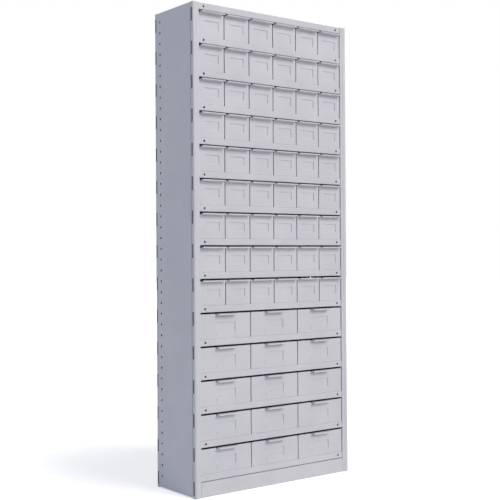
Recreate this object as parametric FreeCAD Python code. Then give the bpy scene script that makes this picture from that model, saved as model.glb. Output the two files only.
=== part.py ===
"""Closed steel shelving unit with shelf drawers, modelled as the sheet-metal parts it is put together from.

Millimetres, +Z up, drawers facing -Y. The origin is on the floor, below the middle of the overall box.
Two plan distances place a piece: "inwards" runs from a side face of the unit towards its middle, and
"back" runs from the front faces of the posts towards the rear.
"""

import FreeCAD, Part
import os

from FreeCAD import Vector

# Overall size and layout
WIDTH = 914.0
DEPTH = 318.0
SHELF_PITCH = 150.0
SMALL_ROWS = 9
SINGLE_SMALL_ROWS = 4
LARGE_ROWS = 5
SMALL_COLUMNS = 6
LARGE_COLUMNS = 3
BASE_HEIGHT = 68.0
BASE_GAP = 2.0

# Clearances: between fixed pieces, under a drawer, and left when a drawer meets its stop
SEAT_GAP = 0.3
SLIDE_GAP = 0.3
STOP_GAP = 1.0

# Posts, roll formed, with a round bead down the outer part of each front one
POST_SHEET = 1.5
POST_FACE = 34.0
POST_SIDE = 19.0
POST_RETURN = 14.0
POST_CHEEK = 26.0
POST_BEND = 2.5
BEAD_WIDTH = 22.0
BEAD_RISE = 3.5
REAR_CORNER = 4.5

# Slots in the side of each post, one at the lower edge of every shelf
SLOT_HEIGHT = 60.0
SLOT_WIDTH = 10.0
SLOT_FROM_PANEL = 3.5
SLOT_ABOVE_EDGE = 4.0

# Side panels, folded inwards along their upright edges, with a punched column near the rear
PANEL_SHEET = 0.9
PANEL_FLANGE = 12.0
PANEL_BEND = 2.5
PANEL_FLOOR_GAP = 4.0
PANEL_TOP_GAP = 1.0
PUNCH_SPACING = 50.0
PUNCH_WIDTH = 8.0
PUNCH_HEIGHT = 10.0
PUNCH_FROM_REAR = 47.0
PUNCH_ABOVE_SHELF = 6.0

# Back panel over the faces of the rear posts
BACK_SHEET = 0.9
BACK_LAP = 20.0
BACK_HEM = 10.0

# Shelves, with their edges folded down and their corners notched round the posts
SHELF_SHEET = 0.9
SHELF_EDGE = 30.0
SHELF_RETURN = 12.0
EDGE_RECESS = 3.5
EDGE_HOLE = 6.0
EDGE_HOLE_FROM_SIDE = 61.0

# Clips under the four corners of each shelf
CLIP_SHEET = 1.5
CLIP_DROP = 30.0
CLIP_BEARING = 15.0
CLIP_OVERLAP = 14.0

# Base strip between the front posts
BASE_SHEET = 0.9
BASE_FLANGE = 14.0
BASE_RECESS = 0.5

# Foot plates, one inside each post, with a floor bolt hole behind it
FOOT_SHEET = 2.0
FOOT_SIDE_GAP = 1.5
FOOT_REACH = 56.0
FOOT_CLIP_GAP = 6.0
FOOT_HOLE_RADIUS = 4.5
FOOT_HOLE_BACK = 44.0

# Drawer bodies: a folded bottom with two sides, and a taller rear wall that stops the drawer
DRAWER_SHEET = 0.9
DRAWER_REAR_SPACE = 22.5
DRAWER_SIDE_HEIGHT = 104.0
DRAWER_SIDE_INSET = 1.0
STOP_ABOVE_EDGE = 11.0

# Drawer fronts
FRONT_SHEET = 0.9
FRONT_GAP = 3.0
FRONT_RECESS = 5.5
FRONT_BOTTOM_GAP = 2.5
FRONT_TOP_GAP = 6.6

# Pull, folded outwards from the top of each drawer front, with a lip that leans out as it falls
PULL_WEB = 20.0
PULL_FALL = 1.5
PULL_LIP_OUT = 3.5
PULL_LIP_DROP = 7.0
SMALL_PULL_INSET = 2.0
LARGE_PULL_WIDTH = 105.0

# Card recess pressed into each drawer front, with walls that lean by the draft
CARD_HEIGHT = 45.0
CARD_BOTTOM = 34.0
CARD_DEPTH = 2.5
CARD_DRAFT = 1.2
SMALL_CARD_WIDTH = 80.0
LARGE_CARD_WIDTH = 107.0

# Sizes that follow from the ones above
ROWS = SMALL_ROWS + LARGE_ROWS
FIRST_EDGE = BASE_HEIGHT + BASE_GAP
HEIGHT = FIRST_EDGE + ROWS * SHELF_PITCH + SHELF_EDGE
PULL_REACH = PULL_WEB + PULL_LIP_OUT - FRONT_RECESS
FRONT_Y = PULL_REACH - (DEPTH + PULL_REACH) / 2
REAR_Y = FRONT_Y + DEPTH
POST_REAR_Y = REAR_Y - BACK_SHEET
SIDE_X = WIDTH / 2
CHEEK_X = SIDE_X - POST_FACE
OPENING = 2 * CHEEK_X
NOTCH = max(POST_CHEEK, POST_SIDE + PANEL_SHEET) + SEAT_GAP
FACE_Y = FRONT_Y + FRONT_RECESS
FRONT_TOP = SHELF_PITCH - SHELF_EDGE - FRONT_TOP_GAP
DRAWER_REAR_Y = REAR_Y - DRAWER_REAR_SPACE
STOP_HEIGHT = SHELF_PITCH - SHELF_EDGE + STOP_ABOVE_EDGE
STOP_Y = FRONT_Y + EDGE_RECESS + SHELF_RETURN + STOP_GAP
TRAVEL = DRAWER_REAR_Y - DRAWER_SHEET - STOP_Y


def edge_level(shelf):
    """Height of a shelf's lower edge, counting the shelves up from the base strip."""
    return FIRST_EDGE + shelf * SHELF_PITCH


def block(x0, x1, y0, y1, z0, z1):
    """A box between two opposite corners."""
    return Part.makeBox(x1 - x0, y1 - y0, z1 - z0, Vector(x0, y0, z0))


def polyline(points):
    """Straight edges from each point to the next."""
    edges = []
    for start, end in zip(points, points[1:]):
        edges.append(Part.LineSegment(start, end).toShape())
    return edges


def upright_section(x, points):
    """Straight edges in the upright plane at x, from pairs of depth and height."""
    return polyline([Vector(x, y, z) for y, z in points])


def sheet_section(edges, thickness):
    """The cut face of a bent sheet: one surface follows the edges, the other lies at the thickness."""
    return Part.Wire(edges).makeOffset2D(thickness, join=2, fill=True, openResult=True)


def fused(shapes):
    """One solid from shapes that meet, without the seams between them."""
    return shapes[0].multiFuse(shapes[1:]).removeSplitter().Solids[0]


def mirror_side(shape):
    """The same piece at the other side of the unit."""
    return shape.mirror(Vector(0, 0, 0), Vector(1, 0, 0))


def mirror_depth(shape):
    """The same piece turned front to rear, between the front and rear posts."""
    return shape.mirror(Vector(0, (FRONT_Y + POST_REAR_Y) / 2, 0), Vector(0, 1, 0))


def at_four_posts(piece):
    """A front left piece and its mirrored copies at the other three posts."""
    front = [piece, mirror_side(piece)]
    return front + [mirror_depth(p) for p in front]


def plan(inwards, back):
    """A point at the left side, from its two plan distances."""
    return Vector(-SIDE_X + inwards, FRONT_Y + back, 0)


def slots():
    """The slots of a left post at the front, as one tool that cuts them all."""
    far = FRONT_Y + POST_SIDE - SLOT_FROM_PANEL
    tools = []
    for shelf in range(ROWS + 1):
        top = edge_level(shelf) + SLOT_ABOVE_EDGE
        tools.append(block(-SIDE_X - POST_SHEET, -SIDE_X + 2 * POST_SHEET, far - SLOT_WIDTH, far,
                           top - SLOT_HEIGHT, top))
    return Part.makeCompound(tools)


def formed_post(corner):
    """A left post at the front, one sheet: return, side, the given outer corner, face and cheek."""
    start = corner.Vertexes[0].Point
    end = corner.Vertexes[-1].Point
    path = polyline([plan(POST_RETURN, POST_SIDE), plan(POST_BEND, POST_SIDE),
                     plan(0, POST_SIDE - POST_BEND), start])
    path.append(corner)
    path += polyline([end, plan(POST_FACE, 0), plan(POST_FACE, POST_CHEEK)])
    post = sheet_section(path, -POST_SHEET).extrude(Vector(0, 0, HEIGHT))
    return post.cut(slots()).Solids[0]


def front_post():
    """Front left post, with the round bead between its side and the flat strip by the drawers."""
    bead = Part.Arc(plan(0, 0), plan(BEAD_WIDTH / 2, -BEAD_RISE), plan(BEAD_WIDTH, 0))
    return formed_post(bead.toShape())


def rear_post():
    """Rear left post, with a slanted outer corner and a flat face that carries the back panel."""
    corner = Part.LineSegment(plan(0, REAR_CORNER), plan(REAR_CORNER, 0))
    return mirror_depth(formed_post(corner.toShape()))


def punched_column(top):
    """The holes of the left side panel, as one tool that cuts them all."""
    column = REAR_Y - PUNCH_FROM_REAR
    level = FIRST_EDGE + SHELF_EDGE + PUNCH_ABOVE_SHELF - PUNCH_SPACING
    tools = []
    while level < top - PUNCH_SPACING / 2:
        tools.append(block(-SIDE_X - PANEL_SHEET, -SIDE_X + 2 * PANEL_SHEET, column - PUNCH_WIDTH / 2,
                           column + PUNCH_WIDTH / 2, level - PUNCH_HEIGHT / 2, level + PUNCH_HEIGHT / 2))
        level += PUNCH_SPACING
    return Part.makeCompound(tools)


def side_panel():
    """Left side panel, whose front and rear flanges lie against the returns of the posts."""
    front = POST_SIDE
    rear = DEPTH - BACK_SHEET - POST_SIDE
    path = polyline([plan(PANEL_FLANGE, front), plan(PANEL_BEND, front), plan(0, front + PANEL_BEND),
                     plan(0, rear - PANEL_BEND), plan(PANEL_BEND, rear), plan(PANEL_FLANGE, rear)])
    top = HEIGHT - PANEL_TOP_GAP
    panel = sheet_section(path, PANEL_SHEET).extrude(Vector(0, 0, top - PANEL_FLOOR_GAP))
    panel = panel.translated(Vector(0, 0, PANEL_FLOOR_GAP))
    return panel.cut(punched_column(top)).Solids[0]


def back_panel():
    """Back panel, lapping over the faces of the rear posts, with its lower edge folded inwards."""
    half = CHEEK_X + BACK_LAP
    inner = CHEEK_X - SEAT_GAP
    low = PANEL_FLOOR_GAP
    sheet = block(-half, half, POST_REAR_Y, REAR_Y, low, HEIGHT - PANEL_TOP_GAP)
    hem = block(-inner, inner, POST_REAR_Y - BACK_HEM, REAR_Y, low, low + BACK_SHEET)
    return fused([sheet, hem])


def base_strip():
    """Strip that closes the space under the lowest shelf, folded back on all four sides."""
    half = CHEEK_X - SEAT_GAP
    front = FRONT_Y + BASE_RECESS
    rear = front + BASE_FLANGE
    pan = block(-half, half, front, rear, 0, BASE_HEIGHT)
    hollow = block(-half + BASE_SHEET, half - BASE_SHEET, front + BASE_SHEET, rear + BASE_FLANGE,
                   BASE_SHEET, BASE_HEIGHT - BASE_SHEET)
    return pan.cut(hollow).Solids[0]


def shelf_form():
    """A shelf with its lower edge at zero: a channel between the posts, and a wider deck clear of them."""
    front = FRONT_Y + EDGE_RECESS
    rear = POST_REAR_Y - SEAT_GAP
    half_channel = CHEEK_X - SEAT_GAP
    path = upright_section(-half_channel, [
        (front + SHELF_RETURN, 0), (front, 0), (front, SHELF_EDGE),
        (rear, SHELF_EDGE), (rear, 0),
    ])
    channel = sheet_section(path, SHELF_SHEET).extrude(Vector(2 * half_channel, 0, 0))
    half_deck = SIDE_X - PANEL_SHEET - SEAT_GAP
    near = FRONT_Y + NOTCH
    far = POST_REAR_Y - NOTCH
    deck = block(-half_deck, half_deck, near, far, 0, SHELF_EDGE)
    under = block(-half_deck + SHELF_SHEET, half_deck - SHELF_SHEET, near, far, 0, SHELF_EDGE - SHELF_SHEET)
    hole_x = SIDE_X - EDGE_HOLE_FROM_SIDE
    low = (SHELF_EDGE - EDGE_HOLE) / 2
    hole = block(hole_x - EDGE_HOLE / 2, hole_x + EDGE_HOLE / 2, front - SHELF_SHEET,
                 front + 2 * SHELF_SHEET, low, low + EDGE_HOLE)
    shelf = fused([channel, deck.cut(under)])
    return shelf.cut(Part.makeCompound([hole, mirror_side(hole)])).Solids[0]


def shelf_clip():
    """The front left clip of a shelf whose lower edge is at zero: a leg on the cheek and a ledge."""
    leg_x = -CHEEK_X - POST_SHEET
    ledge_x = -SIDE_X + PANEL_SHEET + SEAT_GAP
    near = FRONT_Y + NOTCH
    leg = block(leg_x - CLIP_SHEET, leg_x, FRONT_Y + POST_CHEEK - CLIP_OVERLAP, near + CLIP_BEARING,
                -CLIP_DROP, 0)
    ledge = block(ledge_x, leg_x, near, near + CLIP_BEARING, -CLIP_SHEET, 0)
    return fused([leg, ledge])


def foot_plate():
    """Front left foot plate: it lies in the open side of the post and stands up against its cheek."""
    outer = -SIDE_X + POST_RETURN + FOOT_SIDE_GAP
    inner = -CHEEK_X - POST_SHEET
    near = FRONT_Y + POST_SHEET + SEAT_GAP
    plate = block(outer, inner, near, FRONT_Y + FOOT_REACH, 0, FOOT_SHEET)
    upstand = block(inner - FOOT_SHEET, inner, near, FRONT_Y + POST_CHEEK, 0,
                    FIRST_EDGE - CLIP_DROP - FOOT_CLIP_GAP)
    middle = Vector((outer + inner) / 2, FRONT_Y + FOOT_HOLE_BACK, 0)
    return fused([plate, upstand]).cut(Part.makeCylinder(FOOT_HOLE_RADIUS, FOOT_SHEET, middle)).Solids[0]


def card_pressing(width, depth, wall):
    """The space that the card recess takes up to a depth, grown on all sides by a wall."""
    half = width / 2 + wall
    low = CARD_BOTTOM - wall
    high = CARD_BOTTOM + CARD_HEIGHT + wall
    return Part.makeWedge(-half, FACE_Y, low, low + CARD_DRAFT, CARD_DRAFT - half,
                          half, FACE_Y + depth, high, high - CARD_DRAFT, half - CARD_DRAFT)


def drawer_front(width, pull_width, card_width):
    """Drawer front centred on zero, standing on the shelf: plate, pressed card recess and pull."""
    plate = block(-width / 2, width / 2, FACE_Y, FACE_Y + FRONT_SHEET, FRONT_BOTTOM_GAP, FRONT_TOP)
    web_y = FACE_Y - PULL_WEB
    web_z = FRONT_TOP - PULL_FALL
    path = upright_section(-pull_width / 2, [
        (FACE_Y, FRONT_TOP), (web_y, web_z), (web_y - PULL_LIP_OUT, web_z - PULL_LIP_DROP),
    ])
    pull = sheet_section(path, -FRONT_SHEET).extrude(Vector(pull_width, 0, 0))
    bulge = card_pressing(card_width, CARD_DEPTH + FRONT_SHEET, FRONT_SHEET)
    recess = card_pressing(card_width, CARD_DEPTH, 0)
    return fused([plate, bulge, pull]).cut(recess).Solids[0]


def drawer_body(width):
    """Drawer body behind the front, one folded sheet: a bottom and two sides."""
    half = width / 2 - DRAWER_SIDE_INSET
    front = FACE_Y + FRONT_SHEET
    rear = DRAWER_REAR_Y - DRAWER_SHEET
    filled = block(-half, half, front, rear, SLIDE_GAP, DRAWER_SIDE_HEIGHT)
    hollow = block(-half + DRAWER_SHEET, half - DRAWER_SHEET, front - DRAWER_SHEET, rear + DRAWER_SHEET,
                   SLIDE_GAP + DRAWER_SHEET, DRAWER_SIDE_HEIGHT + DRAWER_SHEET)
    return filled.cut(hollow).Solids[0]


def drawer_rear_wall(width):
    """Rear wall welded across the end of a drawer body, tall enough to stop the drawer at the shelf above."""
    half = width / 2 - DRAWER_SIDE_INSET
    return block(-half, half, DRAWER_REAR_Y - DRAWER_SHEET, DRAWER_REAR_Y, SLIDE_GAP, STOP_HEIGHT)


def drawer_row(columns, pull_width, card_width):
    """One row of drawers over a shelf whose top is at zero, left to right, each in its three pieces."""
    pitch = OPENING / columns
    width = pitch - FRONT_GAP
    pieces = [drawer_body(width), drawer_rear_wall(width), drawer_front(width, pull_width, card_width)]
    row = []
    for column in range(columns):
        middle = (column + 0.5) * pitch - CHEEK_X
        row.append([piece.translated(Vector(middle, 0, 0)) for piece in pieces])
    return row


def lifted(shapes, height):
    """Copies of the shapes, raised."""
    return [shape.translated(Vector(0, 0, height)) for shape in shapes]


def save(name, shapes):
    """Writes one named part, as a single solid or as a group of separate ones."""
    shape = shapes[0] if len(shapes) == 1 else Part.makeCompound(shapes)
    shape.exportStep("parts/" + name + ".step")


def save_case():
    """The pieces round the shelves: posts, foot plates, panels and base strip."""
    for place, post in (("front", front_post()), ("rear", rear_post())):
        save(place + "_left_post", [post])
        save(place + "_right_post", [mirror_side(post)])
    save("foot_plates", at_four_posts(foot_plate()))
    panel = side_panel()
    save("left_side_panel", [panel])
    save("right_side_panel", [mirror_side(panel)])
    save("back_panel", [back_panel()])
    save("base_strip", [base_strip()])


def save_shelves():
    """All shelves, each on its four clips; the ones inside the unit are grouped by what stands on them."""
    levels = [edge_level(shelf) for shelf in range(ROWS + 1)]
    form = shelf_form()
    shelves = [lifted([form], level)[0] for level in levels]
    save("bottom_shelf", shelves[:1])
    save("large_drawer_shelves", shelves[1:LARGE_ROWS])
    save("small_drawer_shelves", shelves[LARGE_ROWS:ROWS])
    save("top_shelf", shelves[ROWS:])
    clips = at_four_posts(shelf_clip())
    save("shelf_clips", [clip for level in levels for clip in lifted(clips, level)])


def save_drawers():
    """All drawers, with rows counted from the top; each upper small row is saved as one bank."""
    small_pull = OPENING / SMALL_COLUMNS - FRONT_GAP - 2 * SMALL_PULL_INSET
    small = drawer_row(SMALL_COLUMNS, small_pull, SMALL_CARD_WIDTH)
    large = drawer_row(LARGE_COLUMNS, LARGE_PULL_WIDTH, LARGE_CARD_WIDTH)
    for row in range(1, ROWS + 1):
        kind, pattern = ("small", small) if row <= SMALL_ROWS else ("large", large)
        shelf_top = edge_level(ROWS - row) + SHELF_EDGE
        placed = [lifted(pieces, shelf_top) for pieces in pattern]
        if row <= SMALL_ROWS - SINGLE_SMALL_ROWS:
            save("small_drawer_bank_row_%02d" % row, [piece for pieces in placed for piece in pieces])
            continue
        for column, pieces in enumerate(placed, start=1):
            save("%s_drawer_row_%02d_column_%d" % (kind, row, column), pieces)


os.makedirs("parts", exist_ok=True)
save_case()
save_shelves()
save_drawers()
print("height %.1f, depth over the pulls %.1f, drawer travel %.1f" % (HEIGHT, DEPTH + PULL_REACH, TRAVEL))
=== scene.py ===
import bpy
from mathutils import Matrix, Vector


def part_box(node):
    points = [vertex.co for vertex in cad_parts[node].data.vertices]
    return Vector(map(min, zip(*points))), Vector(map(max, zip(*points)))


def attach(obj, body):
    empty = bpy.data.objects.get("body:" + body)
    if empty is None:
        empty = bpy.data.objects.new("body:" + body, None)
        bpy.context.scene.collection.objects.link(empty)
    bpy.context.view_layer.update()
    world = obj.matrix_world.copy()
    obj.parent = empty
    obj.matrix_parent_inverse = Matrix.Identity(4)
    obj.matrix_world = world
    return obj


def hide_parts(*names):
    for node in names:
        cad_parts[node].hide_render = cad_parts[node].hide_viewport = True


bl_info = {
    "name": "Drawer Shelving Unit",
    "version": (1, 0, 0),
    "blender": (4, 5, 0),
    "location": "View3D > Sidebar > Shelving",
    "description": "Builds the folded sheet metal, the paint and the studio of a shelving unit with drawers",
    "category": "Object",
}

import math

import bmesh
import bpy
from bpy.props import FloatProperty, FloatVectorProperty, IntProperty, PointerProperty
from bpy.types import Operator, Panel, PropertyGroup
from mathutils import Matrix, Vector

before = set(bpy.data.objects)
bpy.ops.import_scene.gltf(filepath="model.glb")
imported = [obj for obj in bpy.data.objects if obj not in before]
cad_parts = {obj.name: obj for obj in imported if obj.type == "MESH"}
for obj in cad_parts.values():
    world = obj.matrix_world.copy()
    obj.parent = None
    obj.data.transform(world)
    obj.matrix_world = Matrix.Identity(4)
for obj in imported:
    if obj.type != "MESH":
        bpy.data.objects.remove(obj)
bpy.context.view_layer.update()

# Shapes are given in millimetres and made in metres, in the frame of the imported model.
MM = 0.001
INWARDS = {"left": 1, "right": -1}
SEAT_GAP = 0.3

# Layout: rows are counted from the top, and each of the banked rows moves as one body
ROWS = 14
SMALL_ROWS = 9
BANKED_ROWS = 5
SMALL_COLUMNS = 6
LARGE_COLUMNS = 3
FIRST_DECK = 100
SHELF_PITCH = 150
HALF_OPENING = 423.0

# Posts
POST_FACE = 34
POST_SIDE = 19
POST_RETURN = 14
POST_CHEEK = 26
BEAD_WIDTH = 22
BEAD_STEPS = 14
BEAD_FOLD = 1.2
REAR_CORNER = 4.5
REAR_CORNER_FOLD = 2.0

# Slots in the sides of the posts: their foot, and their edges from the front or rear face of the post
SLOT_FOOT = 14
SLOT_HEIGHT = 60
FRONT_SLOT = (4.5, 15.5)
REAR_SLOT = (5.5, 15.5)

# Side panels, with a narrow open seam behind the front posts and a punched column
PANEL_SEAM = 2.5
PANEL_FLANGE = 12
PUNCHED_HOLES = 43
PUNCH_PITCH = 50
PUNCH_FOOT = 51.2
PUNCH_HEIGHT = 10
PUNCH_WIDTH = 9
PUNCH_FROM_REAR = 31.6
PUNCH_CORNER = 1.5

# Back panel and its screws, sunk a little into the sheet so that no gap shows
BACK_HEM = 10
SCREW_COLUMN = 433
SCREW_FOOT = 60
SCREW_SINK = 0.2
HEAD_RADIUS = 4.6
HEAD_HEIGHT = 3.2
HEAD_ROUNDING = 0.5
WASHER_RADIUS = 5.6
WASHER_HEIGHT = 1.0
WASHER_ROUNDING = 0.3

# Base strip and shelves
BASE_SEAM = 0.7
EDGE_RECESS = 3.5
EDGE_HEIGHT = 30
EDGE_RETURN = 12
EDGE_HOLE = 9
EDGE_HOLE_COLUMN = 396

# Drawer fronts: the plate's face and foot, and the cuts that free the pull from the plate
DRAWER_FACE = -144.5
FRONT_FOOT = 1.0
RELIEF_FOOT = 106.5
RELIEF_WIDTH = 5

# Pull: its web, and the lip that leans out, falls and ends in a small hem
PULL_WEB = 19.2
LIP_OUT = 3.3
LIP_DROP = 4.4
HEM_BACK = 2.6
HEM_DROP = 0.7
PULL_FOLD = 1.0

# Card recess: its foot and top, and how much its floor is narrower and lower than its mouth
CARD_FOOT = 34
CARD_TOP = 74
CARD_SIDE_DRAFT = 2
CARD_RISE_DRAFT = 0.8
CARD_DRAFT_CENTRE = 70

# Drawer bodies: their rear, how far their sides lie within the front, and the heights of sides and rear wall
BODY_REAR = 145.5
BODY_INSET = 1
BODY_FOLD = 1.2
SIDE_TOP = 104
SIDE_HEM = 2
SIDE_HEM_DROP = 7
SIDE_HEM_FOLD = 0.8
STOP_RISE = 27

# Studio, in metres: the floor, and how far from the unit its glow starts and is full
FLOOR_WIDTH = 60
FLOOR_DROP = 0.0005
GLOW_START = 0.7
GLOW_FULL = 2.2

# Lamp and camera of the studio, in metres, and the camera's yaw, pitch and roll in degrees
LAMP_PLACE = (12.7, -36.0, 24.5)
LAMP_AIM = (0, 0, 1.1)
CAMERA_PLACE = (-2.891, -3.734, 1.075)
CAMERA_TURN = (37.449, 0.294, -0.359)

# How near to a stated place a point has to lie, and how far a punching block stands out of a sheet
NEAR = 0.02
REACH = 3


def linear(code):
    """A colour for a shader, from its sRGB hex code."""
    channels = [int(code[i:i + 2], 16) / 255 for i in (1, 3, 5)]
    return [c / 12.92 if c <= 0.04045 else ((c + 0.055) / 1.055) ** 2.4 for c in channels] + [1.0]


def mm_of(place):
    """Millimetres from a place or size in metres."""
    return place / MM


# Sizes and colours that a user may change


class SheetSizes(PropertyGroup):
    post_sheet: FloatProperty(
        name="Post sheet", description="Thickness of the roll-formed posts",
        default=0.0015, min=0.0008, max=0.003, unit="LENGTH", precision=4)
    panel_sheet: FloatProperty(
        name="Panel sheet", description="Thickness of panels, shelves and drawers",
        default=0.0009, min=0.0005, max=0.002, unit="LENGTH", precision=4)
    post_fold: FloatProperty(
        name="Post fold", description="Outer radius of the folds of posts and side panels",
        default=0.0025, min=0.001, max=0.004, unit="LENGTH", precision=4)
    sheet_fold: FloatProperty(
        name="Sheet fold", description="Outer radius of the folds of shelves, strips and drawers",
        default=0.0015, min=0.0005, max=0.002, unit="LENGTH", precision=4)
    bead_rise: FloatProperty(
        name="Bead rise", description="How far the round bead stands out from the face of a front post",
        default=0.0035, min=0.001, max=0.005, unit="LENGTH", precision=4)
    slot_corner: FloatProperty(
        name="Slot corner", description="Radius in the corners of the slots in the posts",
        default=0.002, min=0.0, max=0.0045, unit="LENGTH", precision=4)
    recess_depth: FloatProperty(
        name="Card recess", description="How deep the card recess is pressed into a drawer front",
        default=0.0035, min=0.001, max=0.005, unit="LENGTH", precision=4)
    recess_corner: FloatProperty(
        name="Recess corner", description="Radius of the lower corners of the card recess",
        default=0.004, min=0.001, max=0.01, unit="LENGTH", precision=4)
    screw_levels: IntProperty(
        name="Screw levels", description="How many screws hold each edge of the back panel",
        default=8, min=2, max=20)


class FinishColours(PropertyGroup):
    enamel: FloatVectorProperty(
        name="Enamel", description="Light grey baked enamel of all painted sheet",
        default=linear("#CFCED3"), size=4, min=0.0, max=1.0, subtype="COLOR")
    enamel_shade: FloatVectorProperty(
        name="Enamel, thinner", description="The same enamel where the coat is a little thinner",
        default=linear("#C8C7CD"), size=4, min=0.0, max=1.0, subtype="COLOR")
    # Edges are painted lighter with this colour: partly wear where they are rubbed, partly a painted
    # highlight.
    enamel_wear_and_highlight: FloatVectorProperty(
        name="Enamel, rubbed", description="The enamel where hands and cartons have polished an edge",
        default=linear("#ECECEF"), size=4, min=0.0, max=1.0, subtype="COLOR")
    zinc: FloatVectorProperty(
        name="Zinc", description="Bright zinc plate of clips, feet and screws",
        default=linear("#C9CDD3"), size=4, min=0.0, max=1.0, subtype="COLOR")
    zinc_shade: FloatVectorProperty(
        name="Zinc, dull", description="The same zinc plate where it has dulled",
        default=linear("#A9AEB6"), size=4, min=0.0, max=1.0, subtype="COLOR")


class StudioSettings(PropertyGroup):
    lens: FloatProperty(
        name="Lens", description="Focal length over a 36 mm wide image",
        default=0.07062, min=0.02, max=0.2, unit="LENGTH", subtype="DISTANCE", precision=5)
    lamp_power: FloatProperty(
        name="Main lamp", description="Power of the wide lamp in front of the unit",
        default=11650.0, min=0.0, max=50000.0, unit="POWER")
    lamp_width: FloatProperty(
        name="Lamp width", description="Width of the main lamp, which softens its shadows",
        default=25.5, min=0.5, max=50.0, unit="LENGTH", subtype="DISTANCE")
    room_level: FloatProperty(
        name="Room light", description="Level of the even light from all sides",
        default=0.705, min=0.0, max=2.0)


# Modelling by hand, in millimetres


def select_only(*pieces):
    """Selects these pieces and no others, and makes the first one active."""
    bpy.ops.object.select_all(action="DESELECT")
    for piece in pieces:
        piece.select_set(True)
    bpy.context.view_layer.objects.active = pieces[0]


def middle_of(low, high):
    """The point in metres halfway between two corners in millimetres."""
    return [(a + b) / 2 * MM for a, b in zip(low, high)]


def open_sheet(name, low, high):
    """Adds a flat sheet between two opposite corners, in edit mode, ready to be folded."""
    size = [b - a for a, b in zip(low, high)]
    flat = size.index(0)
    turn = [(0, math.pi / 2, 0), (math.pi / 2, 0, 0), (0, 0, 0)][flat]
    spread = [(size[2], size[1]), (size[0], size[2]), (size[0], size[1])][flat]
    bpy.ops.mesh.primitive_plane_add(size=1, location=middle_of(low, high), rotation=turn)
    sheet = bpy.context.object
    sheet.name = sheet.data.name = name
    sheet.scale = (spread[0] * MM, spread[1] * MM, 1)
    bpy.ops.object.transform_apply(location=True, rotation=True, scale=True)
    bpy.ops.object.mode_set(mode="EDIT")
    return sheet


def lies(value, place):
    """True if a coordinate in metres lies at a place in millimetres, or within a pair of places."""
    if place is None:
        return True
    low, high = place if isinstance(place, tuple) else (place, place)
    return min(low, high) - NEAR < mm_of(value) < max(low, high) + NEAR


def pick(kind, x=None, y=None, z=None, more=False):
    """Selects the edges or faces of the open sheet that lie wholly at a place, in millimetres."""
    bpy.ops.mesh.select_mode(type=kind)
    if not more:
        bpy.ops.mesh.select_all(action="DESELECT")
    mesh = bmesh.from_edit_mesh(bpy.context.object.data)
    found = 0
    for part in mesh.edges if kind == "EDGE" else mesh.faces:
        if all(lies(v.co.x, x) and lies(v.co.y, y) and lies(v.co.z, z) for v in part.verts):
            part.select_set(True)
            found += 1
    if not found:
        raise RuntimeError("%s has no %s at %s, %s, %s" % (bpy.context.object.name, kind, x, y, z))
    mesh.select_flush_mode()
    bmesh.update_edit_mesh(bpy.context.object.data)


def extend(x=0.0, y=0.0, z=0.0):
    """Extrudes the selected edges or faces by a distance in millimetres."""
    bpy.ops.mesh.extrude_region_move(TRANSFORM_OT_translate={"value": (x * MM, y * MM, z * MM)})


def split(x=None, z=None):
    """Cuts the open sheet along a straight line, in millimetres, and keeps both sides."""
    bpy.ops.mesh.select_mode(type="FACE")
    bpy.ops.mesh.select_all(action="SELECT")
    place = ((x or 0) * MM, 0, (z or 0) * MM)
    bpy.ops.mesh.bisect(plane_co=place, plane_no=(1, 0, 0) if z is None else (0, 0, 1))


def round_off(radius, steps=3):
    """Rounds the selected edges to a radius in millimetres."""
    bpy.ops.mesh.bevel(offset=radius * MM, segments=steps, affect="EDGES")


def apply_modifier(piece, kind, **settings):
    """Adds a modifier to a piece, sets it and applies it."""
    bpy.context.view_layer.objects.active = piece
    modifier = piece.modifiers.new(kind.title(), kind)
    for name, value in settings.items():
        setattr(modifier, name, value)
    bpy.ops.object.modifier_apply(modifier=modifier.name)


def close_sheet(sheet, thickness, outside):
    """Turns the outer side of the open sheet outwards and gives the sheet its thickness behind it."""
    bpy.ops.mesh.select_all(action="SELECT")
    bpy.ops.mesh.remove_doubles(threshold=0.01 * MM)
    bpy.ops.mesh.normals_make_consistent(inside=False)
    mesh = bmesh.from_edit_mesh(sheet.data)
    towards = Vector(outside)
    facing = [face for face in mesh.faces if abs(face.normal.dot(towards)) > math.cos(math.radians(25))]
    widest = max(facing, key=lambda face: face.calc_area())
    if widest.normal.dot(towards) < 0:
        bpy.ops.mesh.flip_normals()
    bpy.ops.object.mode_set(mode="OBJECT")
    apply_modifier(sheet, "SOLIDIFY", thickness=thickness, offset=-1, use_even_offset=True)


def punch(sheet, low, high, corner=0.0, count=1, step=(0, 0, 0), mirrored=False):
    """Cuts a row of openings through a sheet with a block, whose edges along X may be rounded."""
    bpy.ops.mesh.primitive_cube_add(size=1, location=middle_of(low, high))
    tool = bpy.context.object
    tool.scale = [(b - a) * MM for a, b in zip(low, high)]
    bpy.ops.object.transform_apply(location=True, rotation=True, scale=True)
    if corner:
        bpy.ops.object.mode_set(mode="EDIT")
        pick("EDGE", y=low[1], z=low[2])
        for y, z in ((low[1], high[2]), (high[1], low[2]), (high[1], high[2])):
            pick("EDGE", y=y, z=z, more=True)
        round_off(corner, 3)
        bpy.ops.object.mode_set(mode="OBJECT")
    if count > 1:
        apply_modifier(tool, "ARRAY", count=count, use_relative_offset=False, use_constant_offset=True,
                       constant_offset_displace=[s * MM for s in step])
    if mirrored:
        apply_modifier(tool, "MIRROR")
    apply_modifier(sheet, "BOOLEAN", operation="DIFFERENCE", solver="EXACT", object=tool)
    bpy.data.objects.remove(tool)


def smooth(piece):
    """Shades folds round and keeps the wide faces beside them flat."""
    select_only(piece)
    bpy.ops.object.shade_smooth_by_angle(angle=math.radians(40))
    apply_modifier(piece, "WEIGHTED_NORMAL", keep_sharp=True)


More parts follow.
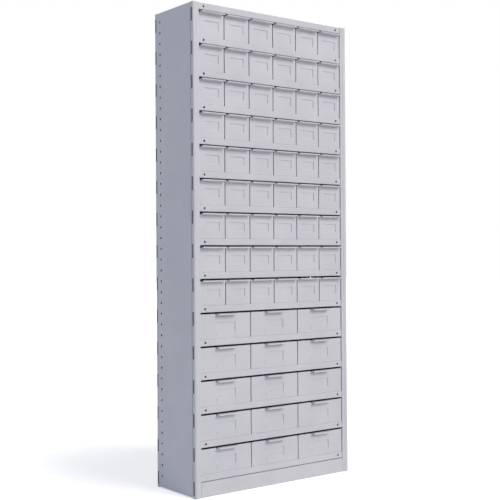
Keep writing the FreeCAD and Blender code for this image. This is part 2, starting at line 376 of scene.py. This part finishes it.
def copy_to(piece, name, x=0.0, z=0.0):
    """A copy with its own mesh, moved by a distance in millimetres."""
    select_only(piece)
    bpy.ops.object.duplicate(linked=False)
    copy = bpy.context.object
    copy.name = copy.data.name = name
    bpy.ops.transform.translate(value=(x * MM, 0, z * MM))
    bpy.ops.object.transform_apply(location=True, rotation=True, scale=True)
    return copy


def fit(piece, material, slot, body, *nodes):
    """Paints a piece, and puts it on its body in place of the nodes that it stands for."""
    piece.data.materials.clear()
    piece.data.materials.append(material)
    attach(piece, body)
    if nodes:
        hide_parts(*nodes)


# Finishes


def pattern_scale(width):
    """The scale of a pattern whose features are this many millimetres wide."""
    return 1 / (width * MM)


def add_node(tree, kind, settings=None, links=None):
    """Adds a node, sets its properties and inputs, and links its inputs to the given outputs."""
    made = tree.nodes.new(kind)
    for name, value in (settings or {}).items():
        if isinstance(name, int) or name in made.inputs:
            made.inputs[name].default_value = value
        else:
            setattr(made, name, value)
    for name, output in (links or {}).items():
        tree.links.new(output, made.inputs[name])
    return made


def edge_mask(tree, radius):
    """Runs from 0 on a face to 1 on an edge that sticks out or in, over a radius in millimetres."""
    rounded = add_node(tree, "ShaderNodeBevel", {"samples": 4, "Radius": radius * MM})
    true_face = add_node(tree, "ShaderNodeNewGeometry")
    turned = add_node(tree, "ShaderNodeVectorMath", {"operation": "DOT_PRODUCT"},
                      {0: rounded.outputs["Normal"], 1: true_face.outputs["Normal"]})
    # The two normals lie 8 degrees apart where the mask starts and 37 degrees where it is full.
    mask = add_node(tree, "ShaderNodeMapRange", {"From Min": 0.99, "From Max": 0.8},
                    {"Value": turned.outputs["Value"]})
    return mask.outputs["Result"]


def baked_enamel(colours):
    """Baked enamel on cold-rolled steel, sprayed and cured: an even, satin, light grey coat.

    The eye sees a faint orange peel in its highlights, slightly uneven tone over a hand's width, the long
    shallow waves of thin sheet, and a smoother line where edges have been rubbed. Edges that stand out or in
    are painted lighter, partly for that wear and partly as a painted highlight.
    """
    material = bpy.data.materials.get("baked enamel on cold-rolled steel")
    if material:
        return material
    material = bpy.data.materials.new("baked enamel on cold-rolled steel")
    material.use_nodes = True
    tree = material.node_tree
    shader = tree.nodes["Principled BSDF"]
    shader.inputs["IOR"].default_value = 1.5
    place = add_node(tree, "ShaderNodeTexCoord").outputs["Object"]

    # Tone changes slowly over about 180 mm, the width of one pass of the spray gun.
    spray = add_node(tree, "ShaderNodeTexNoise", {"Scale": pattern_scale(180), "Detail": 3.0},
                     {"Vector": place})
    coat = add_node(tree, "ShaderNodeMapRange", {"From Min": 0.3, "From Max": 0.7},
                    {"Value": spray.outputs["Fac"]})
    tone = add_node(tree, "ShaderNodeMix",
                    {"data_type": "RGBA", 6: colours.enamel_shade, 7: colours.enamel},
                    {0: coat.outputs["Result"]})
    # Edges that stand out or in are painted lighter: partly rubbed wear, partly a painted highlight.
    edge_wear_and_highlight_mask = edge_mask(tree, 2.0)
    wear_and_highlight_amount = add_node(tree, "ShaderNodeMath", {"operation": "MULTIPLY", 1: 0.8}, {0: edge_wear_and_highlight_mask})
    paint = add_node(tree, "ShaderNodeMix", {"data_type": "RGBA", 7: colours.enamel_wear_and_highlight},
                     {0: wear_and_highlight_amount.outputs["Value"], 6: tone.outputs[2]})
    tree.links.new(paint.outputs[2], shader.inputs["Base Color"])

    # Orange peel is about 1 mm across on the real coat; it is drawn at 3 mm so that it shows in the render.
    peel = add_node(tree, "ShaderNodeTexNoise", {"Scale": pattern_scale(3), "Detail": 1.0},
                    {"Vector": place})
    gloss = add_node(tree, "ShaderNodeMapRange",
                     {"From Min": 0.3, "From Max": 0.7, "To Min": 0.4, "To Max": 0.5},
                     {"Value": peel.outputs["Fac"]})
    polish = add_node(tree, "ShaderNodeMath", {"operation": "MULTIPLY_ADD", 1: -0.1},
                      {0: edge_wear_and_highlight_mask, 2: gloss.outputs["Result"]})
    tree.links.new(polish.outputs["Value"], shader.inputs["Roughness"])

    # Thin sheet is never quite flat: waves about 260 mm long and a few tenths of a millimetre high.
    wave = add_node(tree, "ShaderNodeTexNoise", {"Scale": pattern_scale(260), "Detail": 0.0},
                    {"Vector": place})
    buckled = add_node(tree, "ShaderNodeBump", {"Strength": 0.5, "Distance": 0.8 * MM},
                       {"Height": wave.outputs["Fac"]})
    pitted = add_node(tree, "ShaderNodeBump", {"Strength": 0.12, "Distance": 0.06 * MM},
                      {"Height": peel.outputs["Fac"], "Normal": buckled.outputs["Normal"]})
    tree.links.new(pitted.outputs["Normal"], shader.inputs["Normal"])
    return material


def bright_zinc(colours):
    """Bright zinc plate on pressed steel: a bluish, slightly cloudy metal with fine rolling marks."""
    material = bpy.data.materials.get("bright zinc plate on pressed steel")
    if material:
        return material
    material = bpy.data.materials.new("bright zinc plate on pressed steel")
    material.use_nodes = True
    tree = material.node_tree
    shader = tree.nodes["Principled BSDF"]
    shader.inputs["Metallic"].default_value = 1.0
    place = add_node(tree, "ShaderNodeTexCoord").outputs["Object"]

    # The plate clouds in patches of about 6 mm.
    cloud = add_node(tree, "ShaderNodeTexNoise", {"Scale": pattern_scale(6), "Detail": 4.0},
                     {"Vector": place})
    patch = add_node(tree, "ShaderNodeMapRange", {"From Min": 0.35, "From Max": 0.65},
                     {"Value": cloud.outputs["Fac"]})
    metal = add_node(tree, "ShaderNodeMix", {"data_type": "RGBA", 6: colours.zinc_shade, 7: colours.zinc},
                     {0: patch.outputs["Result"]})
    tree.links.new(metal.outputs[2], shader.inputs["Base Color"])
    dull = add_node(tree, "ShaderNodeMapRange", {"To Min": 0.42, "To Max": 0.28},
                    {"Value": patch.outputs["Result"]})
    tree.links.new(dull.outputs["Result"], shader.inputs["Roughness"])

    # Rolling marks are a few hundredths of a millimetre wide; they are drawn 0.5 mm wide and 25 mm long.
    along, across = pattern_scale(25), pattern_scale(0.5)
    grain = add_node(tree, "ShaderNodeMapping", {"Scale": (along, across, across)}, {"Vector": place})
    marks = add_node(tree, "ShaderNodeTexNoise", {"Scale": 1.0, "Detail": 2.0},
                     {"Vector": grain.outputs["Vector"]})
    rolled = add_node(tree, "ShaderNodeBump", {"Strength": 0.1, "Distance": 0.03 * MM},
                      {"Height": marks.outputs["Fac"]})
    tree.links.new(rolled.outputs["Normal"], shader.inputs["Normal"])
    return material


# One operator for each group of like pieces


def punch_slots(sheet, sizes, edge, near, far):
    """Cuts the slots in the side of a post, one at each shelf, between two places along Y."""
    low, high = min(near, far), max(near, far)
    punch(sheet, (edge - REACH, low, SLOT_FOOT), (edge + REACH, high, SLOT_FOOT + SLOT_HEIGHT),
          mm_of(sizes.slot_corner), ROWS + 1, (0, 0, SHELF_PITCH))


class FrontPosts(Operator):
    """Roll-formed front posts, each with a round bead beside the drawers and slots in its side"""
    bl_idname = "shelving.front_posts"
    bl_label = "Front Posts"

    def execute(self, context):
        sizes = context.scene.sheet_sizes
        paint = baked_enamel(context.scene.finish_colours)
        low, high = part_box("front_left_post")
        outer, cheek, top = mm_of(low.x), mm_of(high.x), mm_of(high.z)
        rise = mm_of(sizes.bead_rise)
        front = mm_of(low.y) + rise
        back = front + POST_SIDE
        half_bead = BEAD_WIDTH / 2
        for side, inwards in INWARDS.items():
            edge = -inwards * abs(outer)
            ends = sorted((edge, edge + inwards * POST_RETURN))
            sheet = open_sheet(side + "_front_post", (ends[0], back, 0), (ends[1], back, top))
            pick("EDGE", x=edge)
            extend(y=-POST_SIDE)
            # The bead is an arc whose chord is the bead's width.
            radius = (half_bead ** 2 + rise ** 2) / (2 * rise)
            turn = 2 * math.asin(half_bead / radius)
            centre = ((edge + inwards * half_bead) * MM, (front - rise + radius) * MM, 0)
            bpy.ops.mesh.spin(steps=BEAD_STEPS, angle=-inwards * turn, axis=(0, 0, 1), center=centre)
            extend(x=inwards * (POST_FACE - BEAD_WIDTH))
            extend(y=POST_CHEEK)
            pick("EDGE", x=edge, y=back)
            pick("EDGE", x=-inwards * abs(cheek), y=front, more=True)
            round_off(mm_of(sizes.post_fold), 4)
            pick("EDGE", x=edge, y=front)
            pick("EDGE", x=edge + inwards * BEAD_WIDTH, y=front, more=True)
            round_off(BEAD_FOLD, 2)
            close_sheet(sheet, sizes.post_sheet, (inwards, 0, 0))
            punch_slots(sheet, sizes, edge, front + FRONT_SLOT[0], front + FRONT_SLOT[1])
            smooth(sheet)
            fit(sheet, paint, "case_enamel", "case", "front_%s_post" % side)
        return {"FINISHED"}


class RearPosts(Operator):
    """Roll-formed rear posts, with a slanted outer corner, a flat face for the back panel and side slots"""
    bl_idname = "shelving.rear_posts"
    bl_label = "Rear Posts"

    def execute(self, context):
        sizes = context.scene.sheet_sizes
        paint = baked_enamel(context.scene.finish_colours)
        low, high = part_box("rear_left_post")
        outer, cheek, rear, top = mm_of(low.x), mm_of(high.x), mm_of(high.y), mm_of(high.z)
        near = rear - POST_SIDE
        for side, inwards in INWARDS.items():
            edge = -inwards * abs(outer)
            ends = sorted((edge, edge + inwards * POST_RETURN))
            sheet = open_sheet(side + "_rear_post", (ends[0], near, 0), (ends[1], near, top))
            pick("EDGE", x=edge)
            extend(y=POST_SIDE - REAR_CORNER)
            extend(x=inwards * REAR_CORNER, y=REAR_CORNER)
            extend(x=inwards * (POST_FACE - REAR_CORNER))
            extend(y=-POST_CHEEK)
            pick("EDGE", x=edge, y=near)
            pick("EDGE", x=-inwards * abs(cheek), y=rear, more=True)
            round_off(mm_of(sizes.post_fold), 4)
            pick("EDGE", x=edge, y=rear - REAR_CORNER)
            pick("EDGE", x=edge + inwards * REAR_CORNER, y=rear, more=True)
            round_off(REAR_CORNER_FOLD)
            close_sheet(sheet, sizes.post_sheet, (inwards, 0, 0))
            punch_slots(sheet, sizes, edge, rear - REAR_SLOT[0], rear - REAR_SLOT[1])
            smooth(sheet)
            fit(sheet, paint, "case_enamel", "case", "rear_%s_post" % side)
        return {"FINISHED"}


class SidePanels(Operator):
    """Side panels, folded inwards along their upright edges, with a punched column near the rear"""
    bl_idname = "shelving.side_panels"
    bl_label = "Side Panels"

    def execute(self, context):
        sizes = context.scene.sheet_sizes
        paint = baked_enamel(context.scene.finish_colours)
        low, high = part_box("left_side_panel")
        front, rear, foot, top = mm_of(low.y) + PANEL_SEAM, mm_of(high.y), mm_of(low.z), mm_of(high.z)
        hole = rear - PUNCH_FROM_REAR
        for side, inwards in INWARDS.items():
            edge = -inwards * abs(mm_of(low.x))
            sheet = open_sheet(side + "_panel", (edge, front, foot), (edge, rear, top))
            for y in (front, rear):
                pick("EDGE", x=edge, y=y)
                extend(x=inwards * PANEL_FLANGE)
            pick("EDGE", x=edge, y=front)
            pick("EDGE", x=edge, y=rear, more=True)
            round_off(mm_of(sizes.post_fold), 4)
            close_sheet(sheet, sizes.panel_sheet, (-inwards, 0, 0))
            punch(sheet, (edge - REACH, hole, PUNCH_FOOT),
                  (edge + REACH, hole + PUNCH_WIDTH, PUNCH_FOOT + PUNCH_HEIGHT),
                  PUNCH_CORNER, PUNCHED_HOLES, (0, 0, PUNCH_PITCH))
            smooth(sheet)
            fit(sheet, paint, "case_enamel", "case", side + "_side_panel")
        return {"FINISHED"}


class BackPanel(Operator):
    """Back panel over the rear posts, with its lower edge folded inwards"""
    bl_idname = "shelving.back_panel"
    bl_label = "Back Panel"

    def execute(self, context):
        sizes = context.scene.sheet_sizes
        low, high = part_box("back_panel")
        half, rear, foot, top = mm_of(high.x), mm_of(high.y), mm_of(low.z), mm_of(high.z)
        channel = HALF_OPENING - SEAT_GAP
        sheet = open_sheet("back_sheet", (-half, rear, foot), (half, rear, top))
        split(x=-channel)
        split(x=channel)
        pick("EDGE", x=(-channel, channel), z=foot)
        extend(y=-BACK_HEM)
        pick("EDGE", x=(-channel, channel), y=rear, z=foot)
        round_off(mm_of(sizes.sheet_fold))
        close_sheet(sheet, sizes.panel_sheet, (0, 1, 0))
        smooth(sheet)
        fit(sheet, baked_enamel(context.scene.finish_colours), "case_enamel", "case", "back_panel")
        return {"FINISHED"}


class BackScrews(Operator):
    """Hexagon head screws with a washer face, down both edges of the back panel"""
    bl_idname = "shelving.back_screws"
    bl_label = "Back Screws"

    def execute(self, context):
        levels = context.scene.sheet_sizes.screw_levels
        rear, top = (mm_of(value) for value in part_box("back_panel")[1].yz)
        seat = rear - SCREW_SINK
        turn = (math.pi / 2, 0, 0)
        bpy.ops.mesh.primitive_cylinder_add(
            vertices=6, radius=HEAD_RADIUS * MM, depth=HEAD_HEIGHT * MM, rotation=turn,
            location=(-SCREW_COLUMN * MM, (seat + HEAD_HEIGHT / 2) * MM, SCREW_FOOT * MM))
        screws = bpy.context.object
        screws.name = screws.data.name = "back_screws"
        bpy.ops.object.transform_apply(location=True, rotation=True, scale=True)
        bpy.ops.object.mode_set(mode="EDIT")
        pick("EDGE", y=seat + HEAD_HEIGHT)
        round_off(HEAD_ROUNDING, 2)
        bpy.ops.mesh.select_all(action="DESELECT")
        bpy.ops.mesh.primitive_cylinder_add(
            vertices=20, radius=WASHER_RADIUS * MM, depth=WASHER_HEIGHT * MM, rotation=turn,
            location=(-SCREW_COLUMN * MM, (seat + WASHER_HEIGHT / 2) * MM, SCREW_FOOT * MM))
        pick("EDGE", y=seat + WASHER_HEIGHT)
        round_off(WASHER_ROUNDING, 1)
        bpy.ops.object.mode_set(mode="OBJECT")
        spacing = (top - 2 * SCREW_FOOT) / (levels - 1)
        apply_modifier(screws, "ARRAY", count=levels, use_relative_offset=False, use_constant_offset=True,
                       constant_offset_displace=(0, 0, spacing * MM))
        apply_modifier(screws, "ARRAY", count=2, use_relative_offset=False, use_constant_offset=True,
                       constant_offset_displace=(2 * SCREW_COLUMN * MM, 0, 0))
        smooth(screws)
        fit(screws, bright_zinc(context.scene.finish_colours), "zinc_plated_steel", "case")
        return {"FINISHED"}


class BaseStrip(Operator):
    """Strip under the lowest shelf, folded back on all four sides"""
    bl_idname = "shelving.base_strip"
    bl_label = "Base Strip"

    def execute(self, context):
        sizes = context.scene.sheet_sizes
        low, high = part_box("base_strip")
        half, front, rear, top = mm_of(high.x), mm_of(low.y), mm_of(high.y), mm_of(high.z) - BASE_SEAM
        sheet = open_sheet("base_strip_sheet", (-half, front, 0), (half, front, top))
        pick("EDGE", y=front)
        extend(y=rear - front)
        # The folds are open at the rear.
        pick("FACE", y=rear)
        bpy.ops.mesh.delete(type="ONLY_FACE")
        pick("EDGE", y=front)
        for x in (-half, half):
            pick("EDGE", x=x, z=0, more=True)
            pick("EDGE", x=x, z=top, more=True)
        round_off(mm_of(sizes.sheet_fold))
        close_sheet(sheet, sizes.panel_sheet, (0, -1, 0))
        smooth(sheet)
        fit(sheet, baked_enamel(context.scene.finish_colours), "case_enamel", "case", "base_strip")
        return {"FINISHED"}


class Shelves(Operator):
    """Shelves with folded edges, corners notched round the posts and a square hole near each end"""
    bl_idname = "shelving.shelves"
    bl_label = "Shelves"

    def execute(self, context):
        sizes = context.scene.sheet_sizes
        paint = baked_enamel(context.scene.finish_colours)
        low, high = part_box("bottom_shelf")
        half, front, rear, edge, deck = (mm_of(v) for v in (high.x, low.y, high.y, low.z, high.z))
        channel = HALF_OPENING - SEAT_GAP
        near, far = front + POST_CHEEK + SEAT_GAP - EDGE_RECESS, rear - POST_CHEEK
        shelf = open_sheet("shelf_01", (-half, near, deck), (half, far, deck))
        split(x=-channel)
        split(x=channel)
        pick("EDGE", x=(-channel, channel), y=near)
        extend(y=front - near)
        extend(z=edge - deck)
        extend(y=EDGE_RETURN)
        pick("EDGE", x=(-channel, channel), y=far)
        extend(y=rear - far)
        extend(z=edge - deck)
        for x in (-half, half):
            pick("EDGE", x=x)
            extend(z=edge - deck)
        pick("EDGE", y=front)
        pick("EDGE", y=rear, z=deck, more=True)
        pick("EDGE", x=-half, z=deck, more=True)
        pick("EDGE", x=half, z=deck, more=True)
        # The upright ends of the folded front stay sharp.
        mesh = bmesh.from_edit_mesh(shelf.data)
        for part in mesh.edges:
            if abs(part.verts[0].co.z - part.verts[1].co.z) > MM:
                part.select_set(False)
        round_off(mm_of(sizes.sheet_fold))
        close_sheet(shelf, sizes.panel_sheet, (0, 0, 1))
        hole = edge + (EDGE_HEIGHT - EDGE_HOLE) / 2
        punch(shelf, (-EDGE_HOLE_COLUMN - EDGE_HOLE / 2, front - REACH, hole),
              (-EDGE_HOLE_COLUMN + EDGE_HOLE / 2, front + REACH, hole + EDGE_HOLE), mirrored=True)
        smooth(shelf)
        for level in range(1, ROWS + 1):
            copy = copy_to(shelf, "shelf_%02d" % (level + 1), z=SHELF_PITCH * level)
            node = "small_drawer_shelves" if level < ROWS else "top_shelf"
            if level < ROWS - SMALL_ROWS:
                node = "large_drawer_shelves"
            fit(copy, paint, "case_enamel", "case", node)
        fit(shelf, paint, "case_enamel", "case", "bottom_shelf")
        return {"FINISHED"}


class Hardware(Operator):
    """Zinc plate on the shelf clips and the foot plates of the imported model"""
    bl_idname = "shelving.hardware"
    bl_label = "Clips and Foot Plates"

    def execute(self, context):
        zinc = bright_zinc(context.scene.finish_colours)
        for name in ("shelf_clips", "foot_plates"):
            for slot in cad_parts[name].material_slots:
                slot.material = zinc
        return {"FINISHED"}


def drawer_front(sizes, name, width, top, pull, rise, card):
    """A drawer front of one sheet, whose pull and card recess have widths of their own.

    The plate ends at the top, and the web of the pull rises or falls from there to its lip.
    """
    sheet, half, half_pull, half_card = mm_of(sizes.panel_sheet), width / 2, pull / 2, card / 2
    root, cut = top - sheet, pull / 2 + RELIEF_WIDTH
    front = open_sheet(name, (-half, DRAWER_FACE, FRONT_FOOT), (half, DRAWER_FACE, root))
    for x in (-half_pull, half_pull, -half_card, half_card, -cut, cut):
        split(x=x)
    for z in (CARD_FOOT, CARD_TOP, RELIEF_FOOT):
        split(z=z)
    # The plate is cut away beside the pull, so that it folds without tearing.
    pick("FACE", x=(half_pull, cut), z=(RELIEF_FOOT, top))
    pick("FACE", x=(-cut, -half_pull), z=(RELIEF_FOOT, top), more=True)
    bpy.ops.mesh.delete(type="FACE")
    # The pull is folded from the top edge of the plate, between the cuts.
    pick("EDGE", x=(-half_pull, half_pull), z=root)
    extend(y=-PULL_WEB, z=rise)
    extend(y=-LIP_OUT, z=-LIP_DROP)
    extend(y=HEM_BACK, z=-HEM_DROP)
    # The card recess is pressed back, and its walls lean by the draft, the upper one least.
    pick("FACE", x=(-half_card, half_card), y=DRAWER_FACE, z=(CARD_FOOT, CARD_TOP))
    deep, tall = mm_of(sizes.recess_depth), CARD_TOP - CARD_FOOT
    extend(y=deep)
    bpy.ops.transform.resize(value=((card - CARD_SIDE_DRAFT) / card, 1, (tall - CARD_RISE_DRAFT) / tall),
                             center_override=(0, (DRAWER_FACE + deep) * MM, CARD_DRAFT_CENTRE * MM))
    # The slanted edges at its lower corners are rounded.
    mesh = bmesh.from_edit_mesh(front.data)
    bpy.ops.mesh.select_mode(type="EDGE")
    bpy.ops.mesh.select_all(action="DESELECT")
    for part in mesh.edges:
        if min(abs(step) for step in part.verts[0].co - part.verts[1].co) > MM / 2:
            part.select_set(True)
    bmesh.update_edit_mesh(front.data)
    round_off(mm_of(sizes.recess_corner))
    pick("EDGE", x=(-half_pull, half_pull), z=root)
    for out in (PULL_WEB, PULL_WEB + LIP_OUT):
        pick("EDGE", x=(-half_pull, half_pull), y=DRAWER_FACE - out, more=True)
    round_off(PULL_FOLD)
    close_sheet(front, sizes.panel_sheet, (0, -1, 0))
    return front


def drawer_body(sizes, name, width):
    """A drawer body of one sheet: a bottom, two hemmed sides and a taller rear wall that stops it."""
    side, near, rear = width / 2 - BODY_INSET, DRAWER_FACE + mm_of(sizes.panel_sheet), BODY_REAR
    body = open_sheet(name, (-side, near, SEAT_GAP), (side, rear, SEAT_GAP))
    for x in (-side, side):
        pick("EDGE", x=x, more=x > 0)
    pick("EDGE", y=rear, more=True)
    extend(z=SIDE_TOP - SEAT_GAP)
    pick("EDGE", y=rear, z=SIDE_TOP)
    extend(z=STOP_RISE)
    for x in (-side, side):
        pick("EDGE", x=x, z=SIDE_TOP)
        extend(x=-math.copysign(SIDE_HEM, x))
        extend(z=-SIDE_HEM_DROP)
    for x in (-side, side):
        pick("EDGE", x=x, y=rear, z=(SEAT_GAP, SIDE_TOP), more=x > 0)
        pick("EDGE", x=x, z=SEAT_GAP, more=True)
    pick("EDGE", y=rear, z=SEAT_GAP, more=True)
    round_off(BODY_FOLD, 2)
    for x in (-side, side):
        pick("EDGE", x=x, z=SIDE_TOP, more=x > 0)
    round_off(SIDE_HEM_FOLD, 2)
    close_sheet(body, sizes.panel_sheet, (0, 0, -1))
    return body


def drawer_sheets(sizes, name, width, top, pull, rise, card):
    """A drawer centred on zero, standing on a shelf at zero: front and body, joined as one piece."""
    front = drawer_front(sizes, name, width, top, pull, rise, card)
    body = drawer_body(sizes, name + "_body", width)
    select_only(front, body)
    bpy.ops.object.join()
    smooth(front)
    return front


class Drawers(Operator):
    """All drawers: folded bodies, and fronts with a folded pull and a pressed card recess"""
    bl_idname = "shelving.drawers"
    bl_label = "Drawers"

    def execute(self, context):
        sizes = context.scene.sheet_sizes
        paint = baked_enamel(context.scene.finish_colours)
        small = drawer_sheets(sizes, "small_drawer", width=136, top=108.6, pull=126, rise=4.8, card=80)
        large = drawer_sheets(sizes, "large_drawer", width=277, top=112.8, pull=105, rise=-0.8, card=107)
        for row in range(1, ROWS + 1):
            kind, columns, pattern = "small", SMALL_COLUMNS, small
            if row > SMALL_ROWS:
                kind, columns, pattern = "large", LARGE_COLUMNS, large
            deck = FIRST_DECK + SHELF_PITCH * (ROWS - row)
            for column in range(1, columns + 1):
                node = "%s_drawer_row_%02d_column_%d" % (kind, row, column)
                if row <= BANKED_ROWS:
                    node = "small_drawer_bank_row_%02d" % row
                middle = (column - 0.5) * 2 * HALF_OPENING / columns - HALF_OPENING
                drawer = copy_to(pattern, "drawer_r%02d_c%d" % (row, column), middle, deck)
                fit(drawer, paint, "drawer_enamel", node, node)
        bpy.data.objects.remove(small)
        bpy.data.objects.remove(large)
        return {"FINISHED"}


class Studio(Operator):
    """Pale floor and background, soft light and the camera of the photograph"""
    bl_idname = "shelving.studio"
    bl_label = "Floor, Light and Camera"

    def execute(self, context):
        scene = context.scene
        studio = scene.studio_settings
        bpy.ops.mesh.primitive_plane_add(size=FLOOR_WIDTH, location=(0, 0, -FLOOR_DROP))
        floor = context.object
        floor.name = floor.data.name = "studio_floor"
        bpy.ops.object.transform_apply(location=True, rotation=True, scale=True)
        floor.data.materials.append(self.white_floor())
        self.room_light(scene, studio)

        # A wide lamp far in front of the unit, above and a little to its right, lights its top a little more.
        turn = (Vector(LAMP_PLACE) - Vector(LAMP_AIM)).to_track_quat("Z", "Y").to_euler()
        bpy.ops.object.light_add(type="AREA", location=LAMP_PLACE, rotation=turn)
        lamp = context.object
        lamp.name = "main_lamp"
        lamp.data.shape = "DISK"
        lamp.data.size = studio.lamp_width
        lamp.data.energy = studio.lamp_power
        lamp.data.color = linear("#FFFEFC")[:3]

        yaw, pitch, roll = (math.radians(angle) for angle in CAMERA_TURN)
        ahead = Vector((math.sin(yaw) * math.cos(pitch), math.cos(yaw) * math.cos(pitch), math.sin(pitch)))
        right = Vector((math.cos(yaw), -math.sin(yaw), 0))
        up = right.cross(ahead)
        tilted = math.cos(roll) * right + math.sin(roll) * up
        turn = Matrix((tilted, tilted.cross(ahead), -ahead)).transposed().to_euler()
        bpy.ops.object.camera_add(location=CAMERA_PLACE, rotation=turn)
        camera = context.object
        camera.name = "photo_camera"
        camera.data.lens = mm_of(studio.lens)
        camera.data.sensor_width = 36.0
        scene.camera = camera
        scene.view_settings.view_transform = "Standard"
        return {"FINISHED"}

    def white_floor(self):
        """White paper floor: it keeps the shadow near the unit, and is as white as the room far from it."""
        material = bpy.data.materials.new("matt white paper floor")
        material.use_nodes = True
        tree = material.node_tree
        tree.nodes.clear()
        place = add_node(tree, "ShaderNodeTexCoord").outputs["Object"]
        far = add_node(tree, "ShaderNodeVectorMath", {"operation": "LENGTH"}, {0: place})
        reach = {"From Min": GLOW_START, "From Max": GLOW_FULL, "To Min": 0.54}
        fade = add_node(tree, "ShaderNodeMapRange", {"interpolation_type": "SMOOTHSTEP", **reach},
                        {"Value": far.outputs["Value"]})
        shown = add_node(tree, "ShaderNodeMath", {"operation": "MULTIPLY"},
                         {0: fade.outputs["Result"], 1: self.seen_rays(tree)})
        paper = add_node(tree, "ShaderNodeBsdfDiffuse", {"Color": linear("#F6F6F6")})
        white = add_node(tree, "ShaderNodeEmission", {"Color": (1, 1, 1, 1)},
                         {"Strength": shown.outputs["Value"]})
        added = add_node(tree, "ShaderNodeAddShader", None,
                         {0: paper.outputs["BSDF"], 1: white.outputs["Emission"]})
        add_node(tree, "ShaderNodeOutputMaterial", None, {"Surface": added.outputs["Shader"]})
        return material

    def room_light(self, scene, studio):
        """Soft light from all sides, cooler and stronger from the left, in front of a white background."""
        world = scene.world or bpy.data.worlds.new("Studio")
        scene.world = world
        world.use_nodes = True
        tree = world.node_tree
        tree.nodes.clear()
        towards = add_node(tree, "ShaderNodeTexCoord").outputs["Generated"]
        split_up = add_node(tree, "ShaderNodeSeparateXYZ", None, {0: towards})
        leftness = add_node(tree, "ShaderNodeMapRange", {"From Min": 0.0, "From Max": -1.0},
                            {"Value": split_up.outputs["X"]})
        colour = add_node(tree, "ShaderNodeMix",
                          {"data_type": "RGBA", 6: linear("#AAA6A3"), 7: linear("#CBE1FF")},
                          {0: leftness.outputs["Result"]})
        room = add_node(tree, "ShaderNodeBackground", {"Strength": studio.room_level},
                        {"Color": colour.outputs[2]})
        white = add_node(tree, "ShaderNodeBackground", {"Color": (1, 1, 1, 1), "Strength": 1.0})
        mixed = add_node(tree, "ShaderNodeMixShader", None, {
            0: self.seen_rays(tree), 1: room.outputs["Background"], 2: white.outputs["Background"]})
        add_node(tree, "ShaderNodeOutputWorld", None, {"Surface": mixed.outputs["Shader"]})

    def seen_rays(self, tree):
        """1 for what the camera sees, directly or in a reflection or through glass, and 0 for light."""
        path = add_node(tree, "ShaderNodeLightPath")
        direct = add_node(tree, "ShaderNodeMath", {"operation": "MAXIMUM"},
                          {0: path.outputs["Is Camera Ray"], 1: path.outputs["Is Glossy Ray"]})
        seen = add_node(tree, "ShaderNodeMath", {"operation": "MAXIMUM"},
                        {0: direct.outputs["Value"], 1: path.outputs["Is Transmission Ray"]})
        return seen.outputs["Value"]


class ShelvingPanel(Panel):
    """Sizes, colours and the steps that build the shelving unit"""
    bl_idname = "VIEW3D_PT_shelving"
    bl_label = "Drawer Shelving Unit"
    bl_space_type = "VIEW_3D"
    bl_region_type = "UI"
    bl_category = "Shelving"

    def draw(self, context):
        layout = self.layout
        for group in GROUPS:
            settings = getattr(context.scene, group)
            box = layout.box()
            for name in settings.__annotations__:
                box.prop(settings, name)
        for step in STEPS:
            layout.operator(step.bl_idname)


STEPS = (FrontPosts, RearPosts, SidePanels, BackPanel, BackScrews,
         BaseStrip, Shelves, Hardware, Drawers, Studio)
GROUPS = {"sheet_sizes": SheetSizes, "finish_colours": FinishColours, "studio_settings": StudioSettings}


def register():
    for group in GROUPS.values():
        bpy.utils.register_class(group)
    for step in STEPS:
        bpy.utils.register_class(step)
    bpy.utils.register_class(ShelvingPanel)
    for name, group in GROUPS.items():
        setattr(bpy.types.Scene, name, PointerProperty(type=group))


def unregister():
    for name in GROUPS:
        delattr(bpy.types.Scene, name)
    bpy.utils.unregister_class(ShelvingPanel)
    for step in reversed(STEPS):
        bpy.utils.unregister_class(step)
    for group in reversed(GROUPS.values()):
        bpy.utils.unregister_class(group)


def main():
    """Builds the unit and its studio."""
    register()
    bpy.ops.shelving.front_posts()
    bpy.ops.shelving.rear_posts()
    bpy.ops.shelving.side_panels()
    bpy.ops.shelving.back_panel()
    bpy.ops.shelving.back_screws()
    bpy.ops.shelving.base_strip()
    bpy.ops.shelving.shelves()
    bpy.ops.shelving.hardware()
    bpy.ops.shelving.drawers()
    bpy.ops.shelving.studio()


if __name__ == "__main__":
    main()
